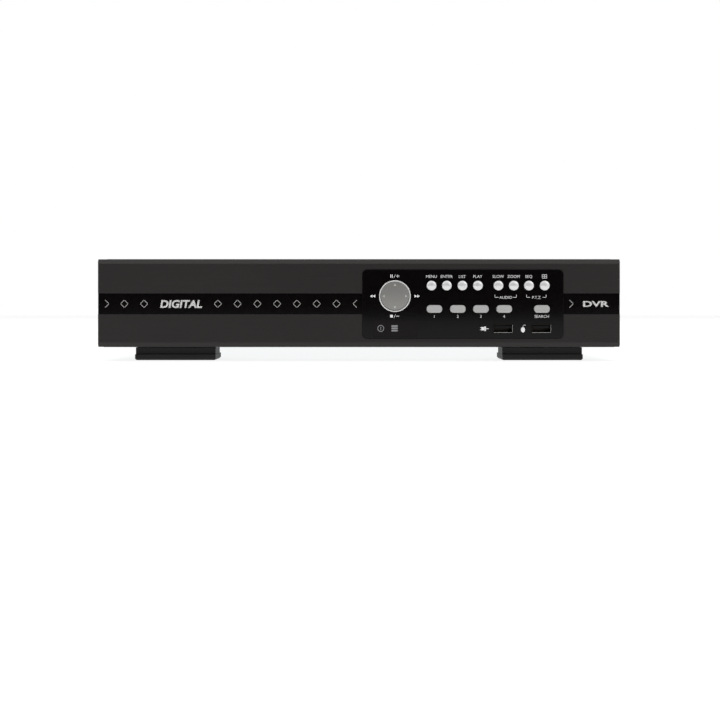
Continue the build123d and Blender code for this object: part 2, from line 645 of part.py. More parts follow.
with BuildPart() as fan_rotor:
    rod(FAN_X, FAN_Z, 10, FAN_FRONT + 2.1, FAN_FRONT + 9.2)
    with Locations(Location((FAN_X, FAN_FRONT + 5.65, FAN_Z), (90, 0, 0))):
        with PolarLocations(14, 7):
            Box(8.6, 1.0, 7.8, rotation=(35, 0, 0))
    rod(FAN_X, FAN_Z, 1.55, FAN_FRONT, FAN_FRONT + 8.6, mode=Mode.SUBTRACT)

with BuildPart() as fan_rivets:
    for side in (-1, 1):
        rivet_x = FAN_X + side * FAN_PITCH / 2
        rivet_z = FAN_Z - side * FAN_PITCH / 2
        rod(rivet_x, rivet_z, 2.64, PANEL_FACE, PANEL_FACE + 0.9)
        rod(rivet_x, rivet_z, 1.4, FAN_FRONT - 1, PANEL_FACE)
        rod(rivet_x, rivet_z, 2.3, FAN_FRONT - 1, FAN_FRONT)

# ---------------------------------------------------------------- rear jacks

with BuildPart() as dc_jack:
    x, z = DC_AT
    box(x - 4.6, x + 4.6, 90.5, PANEL_FACE + 0.9, BOARD_Z, z + 5.9)
    rod(x, z + 1.0, 2.75, 95.5, PANEL_FACE + 1, mode=Mode.SUBTRACT)
    rod(x, z + 1.0, 1.0, 95.5, PANEL_FACE - 0.2)

with BuildPart() as terminal_header:
    x, z = TERMINAL_AT
    box(x - 12.75, x + 12.75, 92.3, 101.6, BOARD_Z, z + 5.4)
    box(x - 11.95, x + 11.95, 93.3, 102, z - 4.6, z + 4.6, mode=Mode.SUBTRACT)
    for way in range(TERMINAL_WAYS):
        way_x = x + TERMINAL_SHIFT + (way - (TERMINAL_WAYS - 1) / 2) * TERMINAL_PITCH
        rod(way_x, z + 1.8, 0.45, 93.3, 99.5)

with BuildPart() as terminal_plug:
    x, z = TERMINAL_AT
    box(x - 11.85, x + 11.85, 94.0, 101.8, z - 4.5, z + 4.5)
    box(x - 12.1, x + 12.1, 101.8, 106.0, z - 5.3, z + 4.5)
    for way in range(TERMINAL_WAYS):
        way_x = x + TERMINAL_SHIFT + (way - (TERMINAL_WAYS - 1) / 2) * TERMINAL_PITCH
        rod(way_x, z + 1.8, 0.75, 93, 99.9, mode=Mode.SUBTRACT)
        box(way_x - 0.92, way_x + 0.92, 97, 107, z - 3.5, z - 1.7, mode=Mode.SUBTRACT)
        if way < TERMINAL_WAYS - 1:
            slot_x = way_x + TERMINAL_PITCH / 2
            box(slot_x - 0.5, slot_x + 0.5, 104.8, 107, z - 1.7, z + 1.6, mode=Mode.SUBTRACT)

with BuildPart() as disk_port:
    x, z = DISK_PORT_AT
    box(x - 3.9, x + 3.9, 89, PANEL_INNER, BOARD_Z, z + 9.1)
    box(x - 2.35, x + 2.35, PANEL_INNER, PANEL_FACE + 0.5, z - 8.8, z + 8.8)
    box(x - 1.6, x + 1.6, 93, PANEL_FACE + 1, z - 7.8, z + 7.8, mode=Mode.SUBTRACT)
    box(x - 0.1, x + 1.1, 93, PANEL_FACE - 0.6, z - 5.9, z + 5.9)

LAN_Z0 = BOARD_Z
LAN_Z1 = 33.4
LAN_MOUTH = 11.9

with BuildPart() as lan_shell:
    box(LAN_X - 8.15, LAN_X + 8.15, 88, PANEL_FACE + 0.7, LAN_Z0, LAN_Z1)
    box(
        LAN_X - 7.75,
        LAN_X + 7.75,
        87,
        PANEL_FACE + 0.2,
        LAN_Z0 + 0.4,
        LAN_Z1 - 0.4,
        mode=Mode.SUBTRACT,
    )
    box(LAN_X - 6.45, LAN_X + 6.45, 100, 106, 24.2, 30.9, mode=Mode.SUBTRACT)
    box(LAN_X - 3.6, LAN_X + 3.6, 100, 106, 22.0, 24.2, mode=Mode.SUBTRACT)
    box(LAN_X - 2.3, LAN_X + 2.3, 100, 106, 20.1, 22.0, mode=Mode.SUBTRACT)

with BuildPart() as lan_insert:
    box(LAN_X - 7.75, LAN_X + 7.75, 88, PANEL_FACE + 0.2, LAN_Z0 + 0.4, LAN_Z1 - 0.4)
    box(LAN_X - 6.3, LAN_X + 6.3, 91.5, 106, 24.3, 30.8, mode=Mode.SUBTRACT)
    box(LAN_X - 3.5, LAN_X + 3.5, 93.5, 106, 22.1, 24.3, mode=Mode.SUBTRACT)
    box(LAN_X - 2.2, LAN_X + 2.2, 93.5, 106, 20.5, 22.1, mode=Mode.SUBTRACT)
    for way in range(8):
        way_x = LAN_X + (way - 3.5) * 1.02
        box(way_x - 0.2, way_x + 0.2, 91.5, 101.5, 29.7, 30.8)

with BuildPart() as infrared_jack:
    x, z = INFRARED_AT
    box(x - 4.2, x + 4.2, 90, PANEL_INNER, BOARD_Z, z + 4.2)
    rod(x, z, 3.2, PANEL_INNER, PANEL_FACE + 1.6)
    rod(x, z, 1.85, 91, PANEL_FACE + 2, mode=Mode.SUBTRACT)

MONITOR_FLANGE = [(-9.4, 5.15), (9.4, 5.15), (8.4, -5.15), (-8.4, -5.15)]
MONITOR_OUTLINE = [(-8.05, 4.05), (8.05, 4.05), (6.7, -4.05), (-6.7, -4.05)]
MONITOR_LINING = [(-7.5, 3.55), (7.5, 3.55), (6.25, -3.55), (-6.25, -3.55)]

with BuildPart() as monitor_shell:
    with BuildSketch(across(PANEL_FACE + 0.6)) as flange_outline:
        with Locations(MONITOR_AT):
            Polygon(*MONITOR_FLANGE, align=None)
        fillet(flange_outline.vertices(), radius=1.7)
        with Locations(MONITOR_AT):
            Rectangle(MONITOR_PITCH, 4.5)
            with Locations((-MONITOR_PITCH / 2, 0), (MONITOR_PITCH / 2, 0)):
                Circle(3.3)
                Circle(1.6, mode=Mode.SUBTRACT)
    extrude(amount=1.8)
    with BuildSketch(across(PANEL_FACE + 5.5)) as shell_outline:
        with Locations(MONITOR_AT):
            Polygon(*MONITOR_OUTLINE, align=None)
        fillet(shell_outline.vertices(), radius=1.9)
    extrude(amount=4.9)
    with BuildSketch(across(PANEL_FACE + 6)) as shell_bore:
        with Locations(MONITOR_AT):
            Polygon(*MONITOR_LINING, align=None)
        fillet(shell_bore.vertices(), radius=1.6)
    extrude(amount=12, mode=Mode.SUBTRACT)

with BuildPart() as monitor_insert:
    x, z = MONITOR_AT
    box(x - 15.3, x + 15.3, 88, PANEL_FACE - 1.2, BOARD_Z, z + 6.2)
    with BuildSketch(across(PANEL_FACE + 4.7)) as insert_outline:
        with Locations(MONITOR_AT):
            Polygon(*MONITOR_LINING, align=None)
        fillet(insert_outline.vertices(), radius=1.6)
    extrude(amount=5.9)
    with BuildSketch(across(PANEL_FACE + 5)):
        with Locations(MONITOR_AT):
            for row in (-1, 0, 1):
                with Locations((0.57 * row, 1.98 * row)):
                    with GridLocations(2.29, 1, 5, 1):
                        Circle(0.5)
    extrude(amount=4, mode=Mode.SUBTRACT)
    for side in (-1, 1):
        rod(x + side * MONITOR_PITCH / 2, z, TAPPED_R, 95, PANEL_FACE, mode=Mode.SUBTRACT)

with BuildPart() as jackscrews:
    x, z = MONITOR_AT
    for side in (-1, 1):
        screw_x = x + side * MONITOR_PITCH / 2
        rod(screw_x, z, SHANK_R, 97, PANEL_FACE + 0.6)
        with BuildSketch(across(PANEL_FACE + 2.6)):
            with Locations((screw_x, z)):
                RegularPolygon(2.25, 6, major_radius=False)
        extrude(amount=2.0)
        rod(screw_x, z, 1.3, PANEL_FACE + 0.9, PANEL_FACE + 3, mode=Mode.SUBTRACT)

SCREEN_OUTLINE = [
    (-7.25, 2.55),
    (7.25, 2.55),
    (7.25, -0.65),
    (5.4, -2.55),
    (-5.4, -2.55),
    (-7.25, -0.65),
]
SCREEN_LINING = [(-6.9, 2.2), (6.9, 2.2), (6.9, -0.5), (5.25, -2.2), (-5.25, -2.2), (-6.9, -0.5)]

with BuildPart() as screen_shell:
    with BuildSketch(across(PANEL_FACE + 0.7)):
        with Locations(SCREEN_AT):
            Polygon(*SCREEN_OUTLINE, align=None)
    extrude(amount=PANEL_FACE + 0.7 - 92)
    with BuildSketch(across(PANEL_FACE + 1)):
        with Locations(SCREEN_AT):
            Polygon(*SCREEN_LINING, align=None)
    extrude(amount=PANEL_FACE + 1 - 93.2, mode=Mode.SUBTRACT)
    x, z = SCREEN_AT
    box(x - 5, x + 5, 92, 100, BOARD_Z, z - 2.4)

video_in = [
    (VIDEO_IN_AT[0] + side * VIDEO_IN_DX / 2, VIDEO_IN_AT[1] + level * VIDEO_IN_DZ / 2)
    for side in (-1, 1)
    for level in (-1, 1)
]

with BuildPart() as jack_housings:
    box(-121, -87, 84, PANEL_INNER, BOARD_Z, 53)
    box(-84, -72.6, 86, PANEL_INNER, BOARD_Z, 31)
    box(-71, -53, 88, PANEL_INNER, BOARD_Z, 48)
    for z in AUDIO_Z:
        rod(AUDIO_X, z, AUDIO_BASE_R, PANEL_INNER, PANEL_FACE + 2.4)
        rod(AUDIO_X, z, AUDIO_NECK_R, PANEL_INNER, PANEL_FACE + 3, mode=Mode.SUBTRACT)
        rod(AUDIO_X, z, 1.6, 95, PANEL_INNER, mode=Mode.SUBTRACT)
    x, z = VIDEO_OUT_AT
    rod(x, z, OUT_BASE_R, PANEL_INNER, PANEL_FACE + 3.2)
    rod(x, z, BARREL_R, PANEL_INNER, PANEL_FACE + 4, mode=Mode.SUBTRACT)
    for x, z in JACK_SCREWS:
        rod(x, z, TAPPED_R, 97, PANEL_INNER, mode=Mode.SUBTRACT)

with BuildPart() as audio_shells:
    for z in AUDIO_Z:
        steps = [
            (AUDIO_NECK_R, PANEL_INNER, PANEL_FACE + 2.8),
            (AUDIO_SHELL_R, PANEL_FACE + 2.8, PANEL_FACE + 8.5),
        ]
        nozzle(AUDIO_X, z, steps, AUDIO_BORE_R, PANEL_INNER)


def audio_core(z):
    """Coloured lining of one audio jack, with the hole for the plug's pin."""
    with BuildPart() as core:
        rod(AUDIO_X, z, AUDIO_BORE_R, PANEL_INNER, PANEL_FACE + 8.0)
        rod(AUDIO_X, z, 1.6, PANEL_INNER, PANEL_FACE + 9, mode=Mode.SUBTRACT)
    return core


audio_core_white = audio_core(AUDIO_Z[0])
audio_core_red = audio_core(AUDIO_Z[1])

with BuildPart() as video_shells:
    for x, z in video_in:
        steps = [
            (VIDEO_BASE_R, PANEL_INNER, PANEL_FACE + 1.4),
            (6.1, PANEL_FACE + 1.4, PANEL_FACE + 1.9),
            (6.5, PANEL_FACE + 1.9, PANEL_FACE + 3.0),
            (5.3, PANEL_FACE + 3.0, PANEL_FACE + 3.6),
            (5.8, PANEL_FACE + 3.6, PANEL_FACE + 5.2),
            (4.65, PANEL_FACE + 5.2, PANEL_FACE + 6.0),
            (BARREL_R, PANEL_FACE + 6.0, REAR_TIP),
        ]
        nozzle(x, z, steps, BORE_R, PANEL_FACE + 3.2)
    x, z = VIDEO_OUT_AT
    nozzle(x, z, [(BARREL_R, PANEL_INNER, REAR_TIP - 0.8)], BORE_R, PANEL_FACE + 3.2)
    for x, z in video_in + [VIDEO_OUT_AT]:
        for side in (-1, 1):
            with Locations((x, REAR_TIP - 5.2, z + side * (BARREL_R + 0.3))):
                Cylinder(0.95, 1.6)

with BuildPart() as video_cores:
    for x, z in video_in:
        rod(x, z, BORE_R, PANEL_FACE + 3.2, PANEL_FACE + 5.2)
        rod(x, z, 2.3, PANEL_FACE + 5.2, REAR_TIP - 3.4)
    x, z = VIDEO_OUT_AT
    rod(x, z, BORE_R, PANEL_FACE + 3.2, REAR_TIP - 3.4)
    rod(x, z, 1.2, REAR_TIP - 3.4, REAR_TIP - 2.4)
    for x, z in video_in + [VIDEO_OUT_AT]:
        rod(x, z, 0.6, PANEL_FACE + 4.0, REAR_TIP, mode=Mode.SUBTRACT)

# ---------------------------------------------------------------- screws

with BuildPart() as black_screws:
    for x, z in FLANGE_SCREWS:
        screw((x, FLANGE_FACE, z), TO_REAR, 3.0, 5)
    for x, z in PORT_SCREWS:
        screw((x, PANEL_FACE, z), TO_REAR, 3.2, 5)

with BuildPart() as silver_screws:
    for x, z in JACK_SCREWS:
        screw((x, PANEL_FACE, z), TO_REAR, 2.5, 5)
    for x, y in BOARD_SCREWS:
        screw((x, y, BOARD_Z), UPWARD, 2.5, 5)
    for x, z in BEZEL_SCREWS:
        screw((x, CASE_FRONT + SHEET, z), TO_REAR, 2.5, 5)
    for x, z in BOARD_POSTS:
        screw((x, FRONT_BOARD_BACK, z), TO_REAR, 2.5, 5)
    for x in DISK_SCREW_X:
        screw((x, DISK_Y0 - 1, DISK_SCREW_Z), TO_FRONT, 2.5, 5)
        screw((x, DISK_Y1 + 1, DISK_SCREW_Z), TO_REAR, 2.5, 5)

# ---------------------------------------------------------------- internal leads

with BuildPart() as disk_leads:
    with BuildLine() as data_path:
        FilletPolyline(
            (DISK_X1 - 1, -50, 17.3), (6, -50, 17.3), (6, -50, 34), (6, 18, 34), (6, 18, 26.6), radius=5
        )
    with BuildSketch(Plane(origin=data_path.line @ 0, z_dir=data_path.line % 0)):
        Circle(1.9)
    sweep(path=data_path.line)

with BuildPart() as fan_lead:
    with BuildLine() as fan_path:
        FilletPolyline(
            (103.2, 98, 30), (98, 98, 30), (98, 81, 34), (88, 81, 34), (88, 81, 25.6), radius=2.4
        )
    with BuildSketch(Plane(origin=fan_path.line @ 0, z_dir=fan_path.line % 0)):
        Circle(0.9)
    sweep(path=fan_path.line)

with BuildPart() as front_ribbon:
    with BuildSketch(Plane.YZ.offset(60)):
        with BuildLine() as ribbon_side:
            FilletPolyline(
                (FRONT_BOARD_BACK + 4, 37.5), (14.5, 37.5), (14.5, 26.6), radius=3.5
            )
            FilletPolyline(
                (FRONT_BOARD_BACK + 4, 38.5), (15.5, 38.5), (15.5, 26.6), radius=4.5
            )
            Line((FRONT_BOARD_BACK + 4, 37.5), (FRONT_BOARD_BACK + 4, 38.5))
            Line((14.5, 26.6), (15.5, 26.6))
        make_face()
    extrude(amount=20)

# ---------------------------------------------------------------- labels

with BuildPart() as rating_label:
    with BuildSketch(across(PANEL_FACE + 0.15)):
        with Locations((-144.5, 22.8)):
            Rectangle(25.8, 18.3, rotation=-1.5)
    extrude(amount=0.15)

with BuildPart() as lan_sticker:
    with BuildSketch(across(PANEL_FACE + 0.15)):
        with Locations((26.5, 36.9)):
            Rectangle(18.0, 4.9)
    extrude(amount=0.15)

pieces = {
    "top_cover": top_cover,
    "chassis_base": chassis_base,
    "front_bezel": front_bezel,
    "band_inlays": band_inlays,
    "control_panel": control_panel,
    "led_window": led_window,
    "front_feet": front_feet,
    "nav_ring": nav_ring,
    "nav_gimbal": nav_gimbal,
    "nav_disc": nav_disc,
    **buttons,
    "front_board": front_board,
    "switches": switches,
    "data_port_shells": data_port_shells,
    "port_tongues": port_tongues,
    "main_board": main_board,
    "board_parts": board_parts,
    "heat_sink": heat_sink,
    "coin_cell": coin_cell,
    "hard_disk": hard_disk,
    "disk_rails": disk_rails,
    "fan_frame": fan_frame,
    "fan_rotor": fan_rotor,
    "fan_rivets": fan_rivets,
    "dc_jack": dc_jack,
    "terminal_header": terminal_header,
    "terminal_plug": terminal_plug,
    "disk_port": disk_port,
    "lan_shell": lan_shell,
    "lan_insert": lan_insert,
    "infrared_jack": infrared_jack,
    "monitor_shell": monitor_shell,
    "monitor_insert": monitor_insert,
    "jackscrews": jackscrews,
    "screen_shell": screen_shell,
    "jack_housings": jack_housings,
    "audio_shells": audio_shells,
    "audio_core_white": audio_core_white,
    "audio_core_red": audio_core_red,
    "video_shells": video_shells,
    "video_cores": video_cores,
    "black_screws": black_screws,
    "silver_screws": silver_screws,
    "disk_leads": disk_leads,
    "fan_lead": fan_lead,
    "front_ribbon": front_ribbon,
    "rating_label": rating_label,
    "lan_sticker": lan_sticker,
}

for name, piece in pieces.items():
    piece.part.label = name
    export_step(piece.part, f"parts/{name}.step")
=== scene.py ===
import bpy
import bmesh
import json
import math
from mathutils import Matrix, Vector


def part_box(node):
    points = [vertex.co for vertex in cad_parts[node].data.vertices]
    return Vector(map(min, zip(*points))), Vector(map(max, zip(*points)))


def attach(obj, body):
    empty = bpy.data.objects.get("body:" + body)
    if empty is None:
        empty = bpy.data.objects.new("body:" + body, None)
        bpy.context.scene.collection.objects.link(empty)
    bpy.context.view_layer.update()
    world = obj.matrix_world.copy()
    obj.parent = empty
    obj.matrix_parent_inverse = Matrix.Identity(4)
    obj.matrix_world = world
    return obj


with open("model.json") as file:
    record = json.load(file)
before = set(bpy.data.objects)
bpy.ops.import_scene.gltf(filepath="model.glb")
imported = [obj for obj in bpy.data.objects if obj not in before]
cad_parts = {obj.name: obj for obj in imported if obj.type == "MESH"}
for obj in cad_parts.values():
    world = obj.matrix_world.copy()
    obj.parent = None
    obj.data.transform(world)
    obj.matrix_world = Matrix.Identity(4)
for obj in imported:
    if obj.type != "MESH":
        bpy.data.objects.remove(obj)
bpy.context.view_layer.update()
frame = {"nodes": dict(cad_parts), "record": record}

MM = 0.001
scene = bpy.context.scene
scene.view_settings.view_transform = "Standard"


def near(node):
    """Y of a node's face towards the front."""
    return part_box(node)[0].y


def far(node):
    """Y of a node's face towards the rear."""
    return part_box(node)[1].y


def middle(node):
    """Centre of a node's bounding box in millimetres."""
    low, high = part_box(node)
    return (low + high) / 2 / MM


# Depths of the printed faces, in metres
FASCIA = near("control_panel")
STRIP = FASCIA + 0.3 * MM
BAND = near("band_inlays")
WINDOW = near("led_window")
DISC_FACE = near("nav_disc") + 0.4 * MM
REAR_WALL = near("rating_label")
LABEL_FACE = far("rating_label")
STICKER_FACE = far("lan_sticker")
VIDEO_PIN_FACE = far("video_cores")
VIDEO_CORE_FACE = VIDEO_PIN_FACE - 1.0 * MM
INK = 0.04 * MM
THICK_INK = 0.1 * MM
SUNK = 0.2  # share of its thickness by which artwork sinks into its face

# Which way artwork looks
FRONT, REAR = -1, 1

# Lettering: share of the type size that a capital takes, and the middle of a capital
CAPITAL = 0.73
CAPITAL_MIDDLE = CAPITAL / 2

# Colour sockets of Blender's mix node
MIX_A, MIX_B, MIX_RESULT = 6, 7, 2

# Artwork of the control panel, in millimetres
LEGEND_HIGH = 1.95
NAV_LEGEND_Z = (55.6, 29.4)
TOP_LEGEND_Z = 55.4
LOW_LEGEND_Z = 29.3
GROUP_Z = 41.7
GROUP_TIP_Z = 43.3
ICON_Z = 21.2
DATA_PORTS = (94.2, 119.3)

# Artwork of the band and the rear wall, in millimetres
BAND_Z = 37.5
PORT_LEGEND_Z = 15.2
AUDIO_X = -59.5
VIDEO_IN_X = -103.75
VIDEO_OUT = (-77.2, 23.7)
NOTICE_X = -10.6
LABEL_AT = (-144.5, 22.8)
LABEL_TILT = -1.5  # degrees
TERMINAL_PITCH = 2.54
SCREW_REACH = 12.495  # from the middle of the monitor jack to each jackscrew


# ---------------------------------------------------------------- materials


def linear(hex_colour):
    """Scene-linear colour of a screen colour written as six hex digits."""
    channels = [int(hex_colour[i : i + 2], 16) / 255 for i in (0, 2, 4)]
    return [c / 12.92 if c <= 0.04045 else ((c + 0.055) / 1.055) ** 2.4 for c in channels]


def material(
    name,
    colour,
    rough,
    metal=0.0,
    specular=0.5,
    grain=900.0,
    tint=0.1,
    bump=0.15,
    relief=0.00005,
    spread=0.06,
    stretch=(1, 1, 1),
    wear=0.0,
    wear_colour="9A9A98",
    coat=0.0,
    edge=0.00025,
    glow=0.0,
):
    """Procedural finish: fine grain in colour, gloss and relief, soft mottling, and worn edges."""
    mat = bpy.data.materials.new(name)
    mat.use_nodes = True
    nodes, links = mat.node_tree.nodes, mat.node_tree.links
    shader = nodes["Principled BSDF"]
    base = linear(colour)

    where = nodes.new("ShaderNodeTexCoord")
    mapping = nodes.new("ShaderNodeMapping")
    mapping.inputs["Scale"].default_value = stretch
    links.new(where.outputs["Object"], mapping.inputs["Vector"])
    fine = nodes.new("ShaderNodeTexNoise")
    fine.inputs["Scale"].default_value = grain
    fine.inputs["Detail"].default_value = 3.0
    links.new(mapping.outputs["Vector"], fine.inputs["Vector"])
    broad = nodes.new("ShaderNodeTexNoise")
    broad.inputs["Scale"].default_value = 14.0
    broad.inputs["Detail"].default_value = 4.0
    links.new(where.outputs["Object"], broad.inputs["Vector"])
    blend = nodes.new("ShaderNodeMix")
    blend.data_type = "FLOAT"
    blend.inputs["Factor"].default_value = 0.3
    links.new(fine.outputs["Fac"], blend.inputs["A"])
    links.new(broad.outputs["Fac"], blend.inputs["B"])

    ramp = nodes.new("ShaderNodeValToRGB")
    ramp.color_ramp.elements[0].position = 0.25
    ramp.color_ramp.elements[1].position = 0.75
    ramp.color_ramp.elements[0].color = [max(0.0, c * (1 - tint)) for c in base] + [1]
    ramp.color_ramp.elements[1].color = [min(1.0, c * (1 + tint)) for c in base] + [1]
    links.new(blend.outputs["Result"], ramp.inputs["Fac"])
    colour_out = ramp.outputs["Color"]

    if wear:
        geometry = nodes.new("ShaderNodeNewGeometry")
        worn = nodes.new("ShaderNodeMapRange")
        worn.inputs["From Min"].default_value = 0.52
        worn.inputs["From Max"].default_value = 0.62
        worn.inputs["To Max"].default_value = wear
        links.new(geometry.outputs["Pointiness"], worn.inputs["Value"])
        rub = nodes.new("ShaderNodeMath")
        rub.operation = "MULTIPLY"
        links.new(worn.outputs["Result"], rub.inputs[0])
        links.new(broad.outputs["Fac"], rub.inputs[1])
        mix = nodes.new("ShaderNodeMix")
        mix.data_type = "RGBA"
        links.new(rub.outputs["Value"], mix.inputs["Factor"])
        links.new(colour_out, mix.inputs[MIX_A])
        mix.inputs[MIX_B].default_value = linear(wear_colour) + [1]
        colour_out = mix.outputs[MIX_RESULT]
    links.new(colour_out, shader.inputs["Base Color"])

    gloss = nodes.new("ShaderNodeMapRange")
    gloss.inputs["To Min"].default_value = max(0.02, rough - spread)
    gloss.inputs["To Max"].default_value = min(1.0, rough + spread)
    links.new(blend.outputs["Result"], gloss.inputs["Value"])
    links.new(gloss.outputs["Result"], shader.inputs["Roughness"])

    rounded = nodes.new("ShaderNodeBevel")
    rounded.samples = 4
    rounded.inputs["Radius"].default_value = edge
    raised = nodes.new("ShaderNodeBump")
    raised.inputs["Strength"].default_value = bump
    raised.inputs["Distance"].default_value = relief
    links.new(fine.outputs["Fac"], raised.inputs["Height"])
    links.new(rounded.outputs["Normal"], raised.inputs["Normal"])
    links.new(raised.outputs["Normal"], shader.inputs["Normal"])

    shader.inputs["Metallic"].default_value = metal
    shader.inputs["Specular IOR Level"].default_value = specular
    shader.inputs["Coat Weight"].default_value = coat
    shader.inputs["Coat Roughness"].default_value = 0.05
    if glow:
        shader.inputs["Emission Color"].default_value = base + [1]
        shader.inputs["Emission Strength"].default_value = glow
    return mat


# Finishes of the record's slots
FINISH = {
    "cover_paint": material(
        "cover_paint", "2A2627", 0.6, specular=0.2, grain=1500, tint=0.35, bump=0.6, relief=0.00012,
        wear=0.12, wear_colour="5A5658",
    ),
    "case_paint": material(
        "case_paint", "B0BCBE", 0.45, specular=0.3, grain=2200, tint=0.035, bump=0.12, wear=0.12
    ),
    "bezel_plastic": material(
        "bezel_plastic", "211E1D", 0.45, specular=0.3, grain=60, tint=0.28, bump=0.35,
        stretch=(0.35, 1, 60), spread=0.1,
    ),
    "gloss_black": material(
        "gloss_black", "0A0808", 0.08, specular=0.15, grain=300, tint=0.2, bump=0.01, spread=0.03
    ),
    "smoked_window": material(
        "smoked_window", "0E0A0C", 0.05, specular=0.12, grain=260, tint=0.25, bump=0.01, spread=0.02
    ),
    "foot_plastic": material("foot_plastic", "171515", 0.5, specular=0.3, tint=0.2, bump=0.4),
    "bright_ring": material("bright_ring", "E4E4E2", 0.25, metal=0.3, tint=0.05, wear=0.1),
    "disc_silver": material(
        "disc_silver", "8C8B88", 0.38, metal=0.4, grain=1800, tint=0.08, bump=0.2, wear=0.1
    ),
    "acetal": material("acetal", "D6D5CF", 0.4),
    "button_chrome": material("button_chrome", "E2E2E2", 0.25, metal=0.3, tint=0.04, bump=0.05),
    "button_satin": material("button_satin", "B6B6B5", 0.36, metal=0.2, tint=0.06, grain=1600),
    "board_green": material("board_green", "1E5B38", 0.4, grain=700, tint=0.2),
    "part_black": material("part_black", "161616", 0.5, grain=1200, tint=0.2),
    "port_nickel": material(
        "port_nickel", "AEA9A2", 0.28, metal=1.0, grain=120, stretch=(1, 8, 8), tint=0.08, wear=0.15
    ),
    "dark_nickel": material("dark_nickel", "2E2925", 0.35, metal=0.8, grain=300, tint=0.12),
    "port_black": material("port_black", "0C0A0A", 0.45, specular=0.2, grain=1400, tint=0.2, bump=0.3),
    "bare_aluminium": material("bare_aluminium", "BFC1C2", 0.4, metal=1.0, grain=800),
    "coin_steel": material("coin_steel", "C4C4C2", 0.3, metal=1.0),
    "zinc_steel": material("zinc_steel", "A5A8AA", 0.42, metal=1.0, grain=90, tint=0.15),
    "fan_plastic": material("fan_plastic", "080707", 0.5, specular=0.15, tint=0.2),
    "terminal_white": material("terminal_white", "DAD9D2", 0.42, grain=1100, tint=0.03, wear=0.1),
    "monitor_bronze": material(
        "monitor_bronze", "4A3C30", 0.3, metal=1.0, grain=700, tint=0.15, wear=0.3, wear_colour="B9A58C"
    ),
    "monitor_black": material("monitor_black", "0D0D10", 0.45, specular=0.25, tint=0.15),
    "nickel_screw": material("nickel_screw", "9C8A7A", 0.25, metal=1.0, tint=0.08),
    "jack_nickel": material(
        "jack_nickel", "85786E", 0.16, metal=1.0, grain=900, tint=0.1, wear=0.3, wear_colour="D8CCC0"
    ),
    "core_white": material("core_white", "C8C6C3", 0.3, tint=0.03),
    "core_red": material("core_red", "9E1830", 0.3, tint=0.06),
    "core_brown": material("core_brown", "18110D", 0.45, specular=0.2, tint=0.15),
    "screw_black": material("screw_black", "454243", 0.16, metal=1.0, tint=0.15),
    "screw_silver": material("screw_silver", "C6C9CC", 0.2, metal=1.0, tint=0.06),
    "lead_black": material("lead_black", "171717", 0.55, tint=0.2),
    "ribbon_white": material("ribbon_white", "D8D8D8", 0.45, grain=60, stretch=(40, 1, 1)),
    "label_silver": material("label_silver", "DCDFDF", 0.4, grain=500, tint=0.03, bump=0.05),
    "label_white": material("label_white", "F8F8F8", 0.45, grain=500, tint=0.02, bump=0.05),
}
# Inks, rims, painted highlights and other finishes of the added pieces
INKS = {
    "ink_light": material("ink_light", "F0F0F0", 0.5, specular=0.2, tint=0.05, grain=3000, bump=0.05),
    "ink_band": material("ink_band", "F4F4F2", 0.45, specular=0.2, tint=0.05, grain=3000, bump=0.05),
    "ink_soft": material("ink_soft", "ACABAA", 0.45, specular=0.2, tint=0.08, grain=3000, bump=0.05),
    "ink_dim": material("ink_dim", "8E8D90", 0.45, specular=0.2, tint=0.1, grain=3000, bump=0.05),
    "ink_black": material("ink_black", "151515", 0.5, specular=0.2, tint=0.15, grain=3000, bump=0.05),
    "ink_grey": material("ink_grey", "565C5E", 0.5, specular=0.2, tint=0.1, grain=3000, bump=0.05),
    "ink_white": material("ink_white", "D6DADA", 0.5, specular=0.2, tint=0.04, grain=3000, bump=0.05),
    "ink_green": material("ink_green", "1E8F47", 0.45, tint=0.1, grain=2000, bump=0.05),
    "sticker_green": material("sticker_green", "8FD6A4", 0.4, tint=0.05, grain=2000, bump=0.05),
    "lever_brown": material("lever_brown", "7A6550", 0.45, tint=0.12),
    "pin_bright": material("pin_bright", "D8D6D2", 0.2, metal=1.0, tint=0.05),
    # Painted highlight: bright beige standing in for light on the monitor jack's rim and nut rings
    "bronze_highlight": material("bronze_highlight", "D6C4AC", 0.3, metal=0.2, tint=0.08),
    "rim_dull": material("rim_dull", "9A8670", 0.3, metal=0.3, tint=0.1),
    "face_tan": material("face_tan", "A08A6C", 0.5, tint=0.1),
    # Light grey for the printed disc arrows and for painted highlights on the data port lips
    "grey_print_and_highlight": material("grey_print_and_highlight", "BEBEBC", 0.3, metal=0.1, tint=0.08),
}

for part in frame["record"]["subparts"]:
    node = frame["nodes"][part["node"]]
    node.data.materials.clear()
    node.data.materials.append(FINISH[part["material_slot"]])


# ---------------------------------------------------------------- printed graphics


def circle(x, z, wide, high, steps):
    """Points round an ellipse with those half sizes."""
    turns = [2 * math.pi * i / steps for i in range(steps)]
    return [(x + wide * math.cos(t), z + high * math.sin(t)) for t in turns]


def rounded(x0, x1, z0, z1, r, steps=5):
    """Outline of a rectangle with rounded corners."""
    centres = ((x1 - r, z1 - r), (x0 + r, z1 - r), (x0 + r, z0 + r), (x1 - r, z0 + r))
    points = []
    for corner, (cx, cz) in enumerate(centres):
        for i in range(steps + 1):
            a = math.radians(90 * corner + 90 * i / steps)
            points.append((cx + r * math.cos(a), cz + r * math.sin(a)))
    return points


